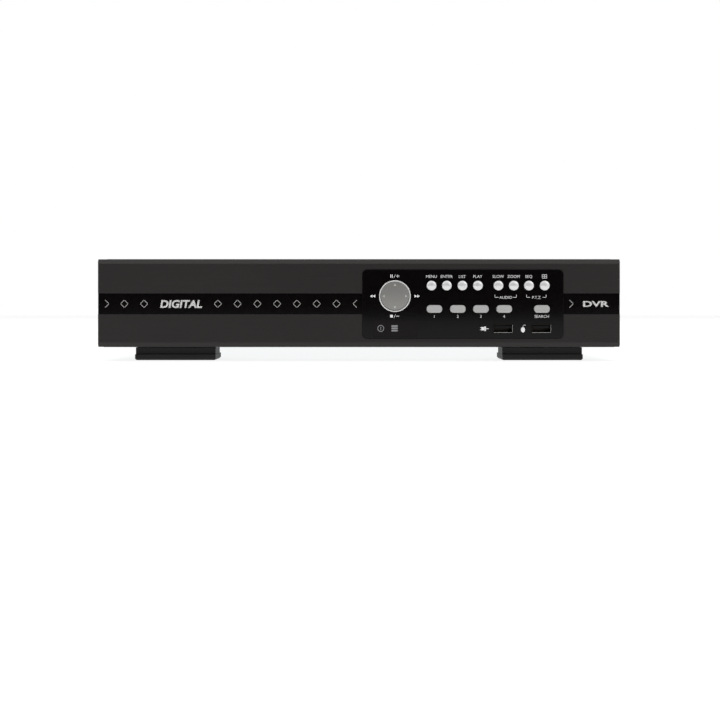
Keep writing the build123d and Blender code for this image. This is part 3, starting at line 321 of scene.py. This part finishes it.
class Print:
    """Thin raised artwork on one upright face. Positions are X and Z in millimetres in the shared
    frame; lettering reads left to right as that face is seen."""

    def __init__(self, name, ink, slot, y, side, body="case", thick=INK):
        self.name = name
        self.ink = ink
        self.slot = slot
        self.side = side
        self.y0 = y
        self.thick = thick
        self.body = body
        self.mesh = bmesh.new()

    def point(self, x, z, height):
        """Place in metres of x, z at that height over the face."""
        return Vector((x * MM, self.y0 + self.side * height, z * MM))

    def polygon(self, points):
        """Flat prism with the given outline."""
        low = [self.mesh.verts.new(self.point(x, z, -SUNK * self.thick)) for x, z in points]
        high = [self.mesh.verts.new(self.point(x, z, self.thick)) for x, z in points]
        self.mesh.faces.new(low)
        self.mesh.faces.new(high[::-1])
        for i in range(len(points)):
            j = (i + 1) % len(points)
            self.mesh.faces.new((low[i], high[i], high[j], low[j]))

    def bar(self, x, z, wide, high):
        """Upright rectangle centred on x, z."""
        self.polygon(
            [
                (x - wide / 2, z - high / 2),
                (x + wide / 2, z - high / 2),
                (x + wide / 2, z + high / 2),
                (x - wide / 2, z + high / 2),
            ]
        )

    def line(self, a, b, width):
        """Straight stroke with square ends."""
        along = Vector((b[0] - a[0], b[1] - a[1]))
        along.normalize()
        across = Vector((-along.y, along.x)) * width / 2
        end = along * width / 2
        self.polygon(
            [
                (a[0] - end.x - across.x, a[1] - end.y - across.y),
                (b[0] + end.x - across.x, b[1] + end.y - across.y),
                (b[0] + end.x + across.x, b[1] + end.y + across.y),
                (a[0] - end.x + across.x, a[1] - end.y + across.y),
            ]
        )

    def stroke(self, points, width, closed=False):
        """Chain of straight strokes."""
        ends = points + points[:1] if closed else points
        for a, b in zip(ends, ends[1:]):
            self.line(a, b, width)

    def ring(self, x, z, outer, inner, steps=36):
        """Flat ring between two radii."""
        turns = [2 * math.pi * i / steps for i in range(steps)]
        corners = [(outer, -SUNK), (outer, 1.0), (inner, 1.0), (inner, -SUNK)]
        loops = []
        for t in turns:
            spots = [(x + r * math.cos(t), z + r * math.sin(t), h * self.thick) for r, h in corners]
            loops.append([self.mesh.verts.new(self.point(*spot)) for spot in spots])
        for i in range(steps):
            a, b = loops[i], loops[(i + 1) % steps]
            for j in range(len(corners)):
                k = (j + 1) % len(corners)
                self.mesh.faces.new((a[j], a[k], b[k], b[j]))

    def disc(self, x, z, radius, steps=32):
        """Flat round spot."""
        self.polygon(circle(x, z, radius, radius, steps))

    def text(self, words, x, z, high, wide=None, weight=0.0, slant=0.0):
        """Lettering centred on x, z with that capital height, and that overall width if it is given."""
        curve = bpy.data.curves.new(self.name + "_type", "FONT")
        curve.body = words
        curve.offset = weight
        curve.shear = slant
        curve.resolution_u = 4
        holder = bpy.data.objects.new(self.name + "_type", curve)
        scene.collection.objects.link(holder)
        bpy.context.view_layer.update()
        flat = bpy.data.meshes.new_from_object(holder.evaluated_get(bpy.context.evaluated_depsgraph_get()))
        spots = [v.co.copy() for v in flat.vertices]
        low = [min(p[i] for p in spots) for i in (0, 1)]
        top = [max(p[i] for p in spots) for i in (0, 1)]
        tall = high / CAPITAL
        grow = wide / (top[0] - low[0]) if wide else tall
        centre = (low[0] + top[0]) / 2
        letters = bmesh.new()
        letters.from_mesh(flat)
        base = letters.verts[:]
        lifted = bmesh.ops.extrude_face_region(letters, geom=letters.faces[:])
        raised = {g for g in lifted["geom"] if isinstance(g, bmesh.types.BMVert)}
        for v in base:
            self.place(v, v not in raised, x, z, centre, grow, tall)
        for v in raised:
            self.place(v, False, x, z, centre, grow, tall)
        made = bpy.data.meshes.new(self.name)
        letters.to_mesh(made)
        letters.free()
        self.mesh.from_mesh(made)
        bpy.data.meshes.remove(made)
        bpy.data.meshes.remove(flat)
        bpy.data.objects.remove(holder)
        bpy.data.curves.remove(curve)

    def place(self, v, lower, x, z, centre, grow, tall):
        """Moves one letter vertex from its own flat drawing to the face."""
        across = (v.co.x - centre) * grow * -self.side
        up = (v.co.y - CAPITAL_MIDDLE) * tall
        v.co = self.point(x + across, z + up, -SUNK * self.thick if lower else self.thick)

    def done(self):
        """Turns the artwork into a piece that rides on its body."""
        bmesh.ops.recalc_face_normals(self.mesh, faces=self.mesh.faces)
        data = bpy.data.meshes.new(self.name)
        self.mesh.to_mesh(data)
        self.mesh.free()
        piece = bpy.data.objects.new(self.name, data)
        scene.collection.objects.link(piece)
        data.materials.append(INKS[self.ink])
        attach(piece, self.body)


WORD_LENGTHS = (3, 6, 2, 5, 7, 4)


def marks(ink, x_start, x_stop, z, high, seed):
    """Row of letter-like strokes, broken into words of uneven length, read from the start to the stop."""
    x = x_start
    step = seed
    while x > x_stop + 0.8:
        for letter in range(WORD_LENGTHS[step % len(WORD_LENGTHS)]):
            if x <= x_stop + 0.5:
                break
            kind = (step * 5 + letter * 3 + seed) % 4
            ink.bar(x - 0.12, z, 0.2, high)
            if kind != 1:
                ink.bar(x - 0.34, z + (0.4, 0, -0.4, 0.0)[kind] * high, 0.4, 0.2)
            if kind != 2:
                lift = (0.0, 0, 0.0, 0.2)[kind] * high
                ink.bar(x - 0.52, z + lift, 0.18, high * (0.98, 0.5, 1, 0.55)[kind])
            x -= 0.86
        x -= 0.6
        step += 1


def on_label(x, z):
    """Point of the slightly crooked rating label, from its centre as seen from behind."""
    spot = Matrix.Rotation(math.radians(LABEL_TILT), 2) @ Vector((-x, z))
    return (LABEL_AT[0] + spot.x, LABEL_AT[1] + spot.y)


def label_circle(x, z, radius):
    """Points round a circle on the rating label."""
    return [on_label(*spot) for spot in circle(x, z, radius, radius, 28)]


# Control panel
TOP_LEGENDS = {
    "button_menu": "MENU", "button_enter": "ENTER", "button_list": "LIST", "button_play": "PLAY",
    "button_slow": "SLOW", "button_zoom": "ZOOM", "button_sequence": "SEQ",
}
LOW_LEGENDS = {
    "button_one": "1", "button_two": "2", "button_three": "3", "button_four": "4",
    "button_search": "SEARCH",
}
keys = Print("key_legends", "ink_light", "gloss_black", FASCIA, FRONT)
for node, words in TOP_LEGENDS.items():
    keys.text(words, middle(node).x, TOP_LEGEND_Z, LEGEND_HIGH)
# Window divided in four over the quad button
quad = middle("button_quad").x
half_wide, half_high = 1.5, 1.2
top, bottom = TOP_LEGEND_Z + half_high, TOP_LEGEND_Z - half_high
left, right = quad - half_wide, quad + half_wide
keys.stroke([(left, bottom), (right, bottom), (right, top), (left, top)], 0.35, closed=True)
keys.line((quad, bottom), (quad, top), 0.35)
keys.line((left, TOP_LEGEND_Z), (right, TOP_LEGEND_Z), 0.35)
for node, words in LOW_LEGENDS.items():
    keys.text(words, middle(node).x, LOW_LEGEND_Z, LEGEND_HIGH)
# Brackets that join two buttons each, open round their word
for x0, x1, words, half in ((88.9, 103.0, "AUDIO", 4.7), (109.6, 122.4, "P.T.Z", 4.3)):
    centre = (x0 + x1) / 2
    keys.text(words, centre, GROUP_Z, 1.9)
    for x, side in ((x0, -1), (x1, 1)):
        keys.stroke([(x, GROUP_TIP_Z), (x, GROUP_Z), (centre + side * half, GROUP_Z)], 0.3)
# Pause, stop, plus and minus signs over and under the navigation disc
nav = middle("nav_disc")
above, below = NAV_LEGEND_Z
for x in (-2.7, -1.7):
    keys.bar(nav.x + x, above, 0.5, 2.1)
keys.bar(nav.x - 2.2, below, 1.8, 1.8)
keys.bar(nav.x + 1.9, above, 0.4, 1.9)
for z in NAV_LEGEND_Z:
    keys.line((nav.x - 0.6, z - 1.1), (nav.x + 0.4, z + 1.1), 0.25)
    keys.bar(nav.x + 1.9, z, 1.9, 0.4)
# Double arrows beside the disc
for side in (-1, 1):
    for step in (-0.9, 0.9):
        x = nav.x + side * 14.5 + step
        tip, back = x + side * 0.9, x - side * 0.8
        keys.polygon([(back, nav.z - 1.0), (tip, nav.z), (back, nav.z + 1.0)][::side])
keys.done()

# Plug and mouse beside the data ports
strip = Print("port_icons", "ink_light", "gloss_black", STRIP, FRONT)
strip.bar(81.0, ICON_Z, 1.9, 2.2)
strip.bar(82.6, ICON_Z, 1.0, 3.0)
strip.line((83.1, ICON_Z), (84.6, ICON_Z), 0.45)
for z in (ICON_Z + 0.7, ICON_Z - 0.7):
    strip.line((79.9, z), (79.4, z), 0.35)
strip.polygon(circle(107.3, 20.5, 1.3, 1.8, 28))
strip.stroke([(107.3, 22.2), (107.3, 23.0), (108.0, 23.6), (109.0, 23.5)], 0.3)
strip.done()

# Painted highlights: light grey lines along the bottom and right edges of each data port opening
lip_highlights = Print("port_lip_highlights", "grey_print_and_highlight", "gloss_black", near("data_port_shells"), FRONT)
for x in DATA_PORTS:
    lip_highlights.bar(x, 18.7, 12.0, 0.22)
    lip_highlights.bar(x + 6.15, 21.3, 0.18, 4.8)
lip_highlights.done()

icons = Print("status_icons", "ink_dim", "smoked_window", WINDOW, FRONT, thick=THICK_INK)
icons.ring(14.3, 21.4, 2.2, 1.75)
icons.line((14.3, 20.6), (14.3, 22.3), 0.4)
for row in range(3):
    icons.polygon(rounded(21.2, 25.4, 19.4 + 1.5 * row, 20.5 + 1.5 * row, 0.45))
icons.done()

arrows = Print(
    "disc_arrows", "grey_print_and_highlight", "disc_silver", DISC_FACE, FRONT, body="nav_disc_body", thick=0.16 * MM
)
for turn in range(4):
    spin = Matrix.Rotation(math.radians(90 * turn), 2)
    shape = [spin @ Vector(p) for p in ((6.7, -0.95), (8.1, 0.0), (6.7, 0.95))]
    arrows.polygon([(nav.x + p.x, nav.z + p.y) for p in shape])
arrows.done()

# Glossy bands: diamonds, chevrons and two plain words
band = Print("band_graphics", "ink_soft", "gloss_black", BAND, FRONT)
for x in [-153.6, -140.7] + [-92.4 + 12.95 * i for i in range(7)]:
    band.stroke(circle(x, BAND_Z, 2.5, 2.5, 4), 0.38, closed=True)
for x, way in ((-164.6, 1), (-2.9, -1), (139.4, 1)):
    back, tip = x - way * 1.4, x + way * 1.0
    band.stroke([(back, BAND_Z + 2.3), (tip, BAND_Z), (back, BAND_Z - 2.3)], 0.4)
band.done()
words = Print("band_words", "ink_band", "gloss_black", BAND, FRONT)
words.text("DIGITAL", -116.4, BAND_Z, 5.0, wide=27.5, weight=0.035, slant=0.15)
words.text("DVR", 155.2, BAND_Z, 3.7, wide=17.0, weight=0.03)
words.done()

# Rear wall, black ink
rear = Print("rear_legends", "ink_black", "case_paint", REAR_WALL, REAR)
PORT_NAMES = (
    ("DC IN", 83.5, 6.75), ("EXTERNAL I/O", 59.8, 15.7), ("DISK", 41.0, 6.4), ("LAN", 26.8, 4.3),
    ("IR", 12.75, 2.2), ("RGB", -10.7, 4.2),
)
for words, x, wide in PORT_NAMES:
    rear.text(words, x, PORT_LEGEND_Z, 1.75, wide=wide, weight=0.005)
rear.text("VIDEO OUT", VIDEO_OUT[0], 15.6, 1.7, wide=12.1, weight=0.005)
rear.text("DIGITAL", -39.8, PORT_LEGEND_Z, 2.3, wide=9.5, weight=0.04)
# Plates and leader lines over the terminal
rear.bar(83.9, 41.1, 8.2, 3.6)
rear.bar(43.1, 41.1, 9.6, 3.6)
rear.stroke([(79.8, 39.4), (74.0, 39.4), (74.0, 42.8), (79.8, 42.8)], 0.25)
rear.stroke([(47.9, 39.4), (58.7, 39.4), (58.7, 42.8), (47.9, 42.8)], 0.25)
rear.stroke([(79.7, 39.3), (79.7, 35.4), (70.8, 35.4), (70.8, 30.6)], 0.2)
rear.line((47.9, 39.3), (47.9, 30.6), 0.2)
# Frame round the audio jacks
rear.polygon(rounded(-66.7, -52.3, 46.4, 50.1, 1.2))
rear.polygon(rounded(-66.7, -52.3, 17.0, 20.5, 1.2))
for z in (46.9, 20.0):
    rear.bar(AUDIO_X, z, 14.4, 1.0)
for x in (-66.6, -52.4):
    rear.line((x, 47.0), (x, 20.0), 0.2)
for z in (34.1, 32.9):
    rear.line((-66.6, z), (-52.4, z), 0.16)
# Frame round the video inputs
rear.stroke(rounded(-121.9, -85.6, 16.0, 53.1, 1.6), 0.28, closed=True)
rear.polygon(rounded(-121.9, -85.6, 16.0, 19.8, 1.5))
rear.bar(VIDEO_IN_X, 19.3, 36.3, 1.0)
rear.done()

faint = Print("rear_fine_lines", "ink_grey", "case_paint", REAR_WALL, REAR)
faint.line((-103.9, 31.5), (-103.9, 40.5), 0.18)
faint.line((-107.6, 36.0), (-100.2, 36.0), 0.18)
for number in range(4):
    row, column = divmod(number, 2)
    faint.text(str(number + 1), -102.3 - 3.3 * column, 38.0 - 4.0 * row, 2.0)
# Plain notice panel: frame, two empty triangles and rows of small marks
faint.stroke([(-32.8, 33.7), (11.3, 33.7), (11.3, 51.3), (-32.8, 51.3)], 0.25, closed=True)
faint.line((-32.8, 43.0), (11.3, 43.0), 0.2)
faint.stroke([(-21.1, 43.6), (-0.1, 43.6), (-0.1, 50.5), (-21.1, 50.5)], 0.2, closed=True)
for x in (5.4, -26.6):
    faint.stroke([(x - 3.4, 44.2), (x + 3.4, 44.2), (x, 50.3)], 0.34, closed=True)
    faint.line((x, 46.0), (x, 48.2), 0.4)
marks(faint, -1.6, -19.6, 46.6, 1.0, 1)
marks(faint, -3.4, -17.8, 44.8, 1.0, 4)
for row, wide in enumerate((39.5, 40.5, 36.0, 39.5)):
    marks(faint, 10.0, 10.0 - wide, 41.6 - 2.05 * row, 0.95, row)
marks(faint, 72.9, 59.4, 41.1, 1.1, 2)
marks(faint, 78.6, 75.0, 41.1, 1.3, 0)
marks(faint, 57.4, 49.2, 41.1, 1.1, 3)
faint.done()

notice = Print("notice_heading", "ink_black", "case_paint", REAR_WALL, REAR)
notice.bar(NOTICE_X, 49.2, 20.8, 2.5)
notice.done()

pale = Print("rear_pale_legends", "ink_white", "case_paint", REAR_WALL + INK, REAR)
pale.text("AUDIO IN", AUDIO_X, 48.2, 1.6, wide=9.9)
pale.text("AUDIO OUT", AUDIO_X, 18.8, 1.6, wide=12.5)
pale.text("VIDEO IN", VIDEO_IN_X, 17.9, 1.7)
pale.text("NOTICE", NOTICE_X, 49.2, 1.4, wide=12.0)
pale.text("POWER", 83.9, 41.1, 1.3)
pale.text("ALARM", 42.6, 41.1, 1.3)
pale.done()

# Rating label and stickers
label = Print("label_lines", "ink_grey", "label_silver", LABEL_FACE, REAR)
marks(label, -133.0, -140.4, 27.5, 1.0, 0)
marks(label, -133.0, -144.2, 25.9, 1.0, 2)
marks(label, -133.4, -141.6, 21.2, 1.0, 1)
marks(label, -149.4, -155.8, 21.2, 1.2, 3)
marks(label, -143.6, -153.0, 18.3, 1.0, 4)
marks(label, -145.0, -156.0, 16.2, 1.0, 5)
for i in range(44):
    x = -11.0 + i * 0.42
    label.line(on_label(x, 0.5), on_label(x, 1.7), 0.2 if i % 3 else 0.32)
label.done()

mark = Print("label_marks", "ink_black", "label_silver", LABEL_FACE, REAR)
mark.text("RECORDER", -138.6, 29.7, 2.0, wide=10.8, weight=0.02)
for x in (-9.0, -4.2):
    mark.stroke(label_circle(x, -5.6, 1.9), 0.7, closed=True)
for x in (8.6, 10.2):
    mark.stroke(label_circle(x, 3.1, 0.6), 0.25, closed=True)
mark.line(on_label(9.2, 3.1), on_label(9.6, 3.1), 0.2)
mark.done()

numbers = Print("sticker_lines", "ink_black", "label_white", STICKER_FACE, REAR)
for row, z in enumerate((37.8, 36.0)):
    marks(numbers, 33.2 - row * 0.8, 19.2 + row * 0.8, z, 1.1, row)
numbers.done()

# Green sticker with a leaf of five spots
check = Print("check_sticker", "sticker_green", "label_white", REAR_WALL, REAR, thick=THICK_INK)
check.disc(27.9, 45.0, 3.5)
check.done()
leaf = Print("check_mark", "ink_green", "label_white", REAR_WALL + THICK_INK, REAR)
SPOTS = (
    (27.1, 46.2, 0.95), (28.9, 45.9, 0.9), (27.4, 44.1, 0.95), (29.2, 43.9, 0.75), (28.2, 45.0, 0.7),
)
for x, z, r in SPOTS:
    leaf.disc(x, z, r, steps=16)
leaf.done()

# Release levers of the pluggable terminal
levers = Print(
    "terminal_levers", "lever_brown", "terminal_white", far("terminal_plug") - 0.9 * MM, REAR,
    body="terminal_plug_body", thick=0.5 * MM,
)
for way in range(8):
    levers.bar(58.95 + (way - 3.5) * TERMINAL_PITCH, 25.15, 0.9, 3.1)
levers.done()

# Bright pin of the power jack, rim of the infrared jack, painted highlights on the monitor jack's rim and
# nuts, painted shade in the nut holes, face and contact of the video output
pin = Print("power_pin", "pin_bright", "port_black", far("dc_jack") - 1.1 * MM, REAR, thick=0.3 * MM)
pin.disc(83.5, 25.9, 0.95)
pin.done()
ring = Print("infrared_rim", "rim_dull", "port_black", far("infrared_jack"), REAR, thick=THICK_INK)
ring.ring(middle("infrared_jack").x, 26.6, 2.5, 1.86)
ring.done()
# Painted highlight: a bright stroke round the D-shaped rim of the monitor shell
rim_highlight = Print("monitor_rim_highlight", "bronze_highlight", "monitor_bronze", far("monitor_shell"), REAR)
port = middle("monitor_shell")
half_rim_highlight = [(7.1, 3.85), (7.6, 3.2), (6.7, -3.2), (5.9, -3.85)]
right_side = [(port.x + x, port.z + z) for x, z in half_rim_highlight]
left_side = [(port.x - x, port.z + z) for x, z in half_rim_highlight[::-1]]
rim_highlight.stroke(right_side + left_side, 0.6, closed=True)
rim_highlight.done()
# Painted highlight: bright rings round the jackscrew holes
nut_highlights = Print("nut_rim_highlights", "bronze_highlight", "nickel_screw", far("jackscrews"), REAR)
# Painted shade: black discs set inside the jackscrew holes
hole_shade = Print("nut_hole_shade", "ink_black", "nickel_screw", far("jackscrews") - 1.5 * MM, REAR)
for x in (port.x - SCREW_REACH, port.x + SCREW_REACH):
    nut_highlights.ring(x, port.z, 1.95, 1.35)
    hole_shade.disc(x, port.z, 1.25)
nut_highlights.done()
hole_shade.done()
face = Print("video_out_face", "face_tan", "core_brown", VIDEO_CORE_FACE, REAR, thick=THICK_INK)
face.ring(*VIDEO_OUT, 3.95, 1.25)
face.done()
contact = Print("video_out_contact", "pin_bright", "core_brown", VIDEO_PIN_FACE, REAR, thick=THICK_INK)
contact.ring(*VIDEO_OUT, 1.1, 0.65)
contact.done()

# ---------------------------------------------------------------- studio


def sheet(name, corners, finish):
    """Flat stage piece through four corners in metres."""
    drawn = bmesh.new()
    drawn.faces.new([drawn.verts.new(corner) for corner in corners])
    data = bpy.data.meshes.new(name)
    drawn.to_mesh(data)
    drawn.free()
    piece = bpy.data.objects.new(name, data)
    scene.collection.objects.link(piece)
    data.materials.append(finish)
    return piece


paper = material("paper_sweep", "8C8C8C", 0.8, specular=0.0, tint=0.01, grain=40, bump=0.02, glow=3.1)
FLOOR_HALF = 6.0
FLOOR_Z = -0.0001
floor_corners = [(x * FLOOR_HALF, y * FLOOR_HALF, FLOOR_Z) for x, y in ((-1, -1), (1, -1), (1, 1), (-1, 1))]
sheet("floor", floor_corners, paper)
# Dark cards in front and behind, seen only in reflections
felt = material("felt_card", "1A1A1A", 0.9, specular=0.05, tint=0.05)
for name, y in (("front_card", -1.9), ("rear_card", 1.9)):
    card = sheet(name, [(-2.2, y, 0.0), (2.2, y, 0.0), (2.2, y, 1.3), (-2.2, y, 1.3)], felt)
    card.visible_camera = False
    card.visible_shadow = False


def softbox(name, place, aim, size, power):
    """Rectangular lamp at a place, turned to its aim."""
    lamp = bpy.data.lights.new(name, "AREA")
    lamp.shape = "RECTANGLE"
    lamp.size, lamp.size_y = size
    lamp.energy = power
    holder = bpy.data.objects.new(name, lamp)
    scene.collection.objects.link(holder)
    holder.location = place
    holder.rotation_mode = "QUATERNION"
    holder.rotation_quaternion = (Vector(aim) - Vector(place)).to_track_quat("-Z", "Y")


softbox("top_box", (0, 0, 1.1), (0, 0, 0), (1.4, 1.4), 3)
for end in (-1, 1):
    softbox("box_left", (-0.9, end * 0.9, 0.7), (0, 0, 0.03), (0.8, 0.6), 2)
    softbox("box_right", (0.9, end * 0.9, 0.7), (0, 0, 0.03), (0.8, 0.6), 2)

world = bpy.data.worlds.new("studio")
world.use_nodes = True
world.node_tree.nodes["Background"].inputs["Color"].default_value = (1, 1, 1, 1)
world.node_tree.nodes["Background"].inputs["Strength"].default_value = 1.0
scene.world = world

camera = bpy.data.objects.new("camera", bpy.data.cameras.new("camera"))
scene.collection.objects.link(camera)
camera.location = (0.0, -0.7155, 0.0377)
camera.rotation_euler = (math.radians(90), 0, 0)
camera.data.lens = 45.85
camera.data.shift_x = 0.0015
camera.data.shift_y = -0.0785
camera.data.clip_start = 0.01
scene.camera = camera
